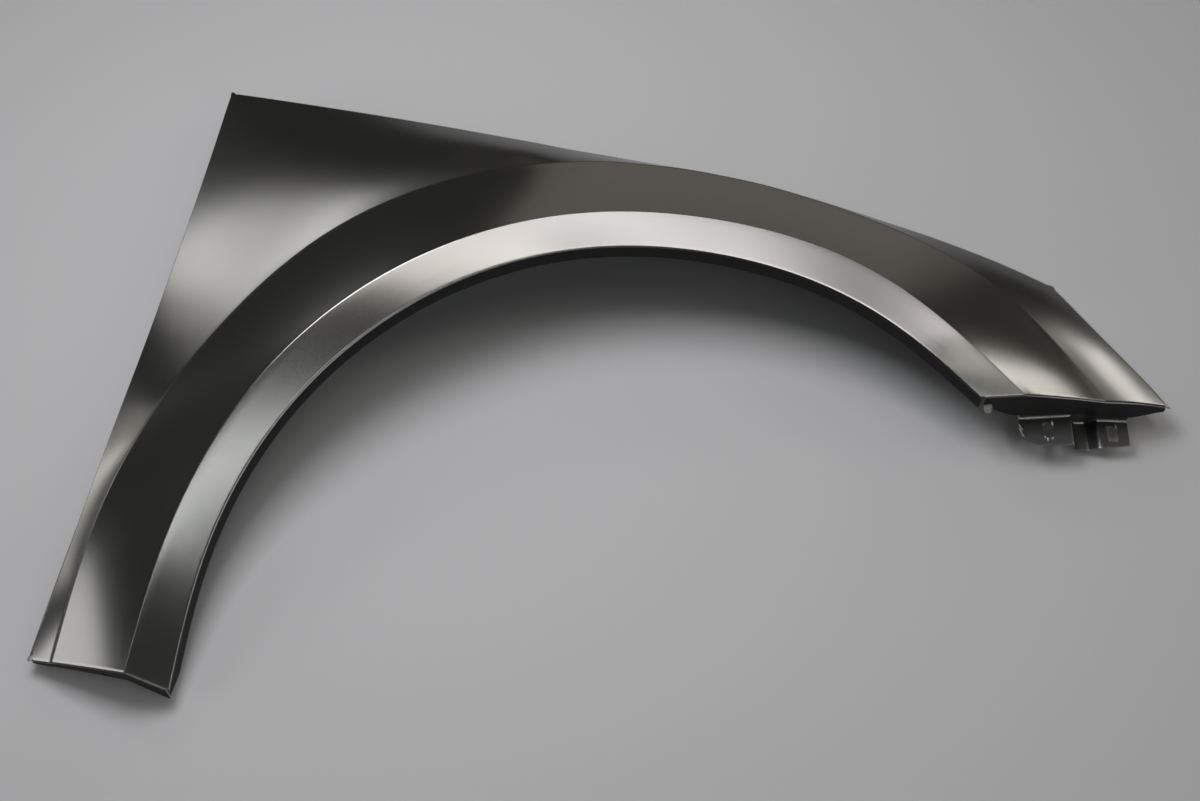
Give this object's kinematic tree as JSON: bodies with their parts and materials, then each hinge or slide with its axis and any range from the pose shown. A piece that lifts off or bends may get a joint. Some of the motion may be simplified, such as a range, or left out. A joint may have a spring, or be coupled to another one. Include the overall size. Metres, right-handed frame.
{
  "type": "car front fender",
  "caption": "Right front car fender with a raised wheel arch flare, folded flanges, a bonnet ledge and a slotted bumper bracket.",
  "frame": {"origin": "bottom centre of the bounding box of the fender as it lies, outer face up, on a floor", "axes": "+X to the car's front, +Y to the car's roof, +Z out of the car's side and up from the floor"},
  "size_m": [0.881, 0.5548, 0.1268],
  "materials": {
    "panel_primer": "satin black dip primer",
    "bracket_primer": "satin black dip primer"
  },
  "bodies": {
    "root": {"fender_panel": "panel_primer", "bumper_bracket": "bracket_primer"}
  },
  "joints": []
}
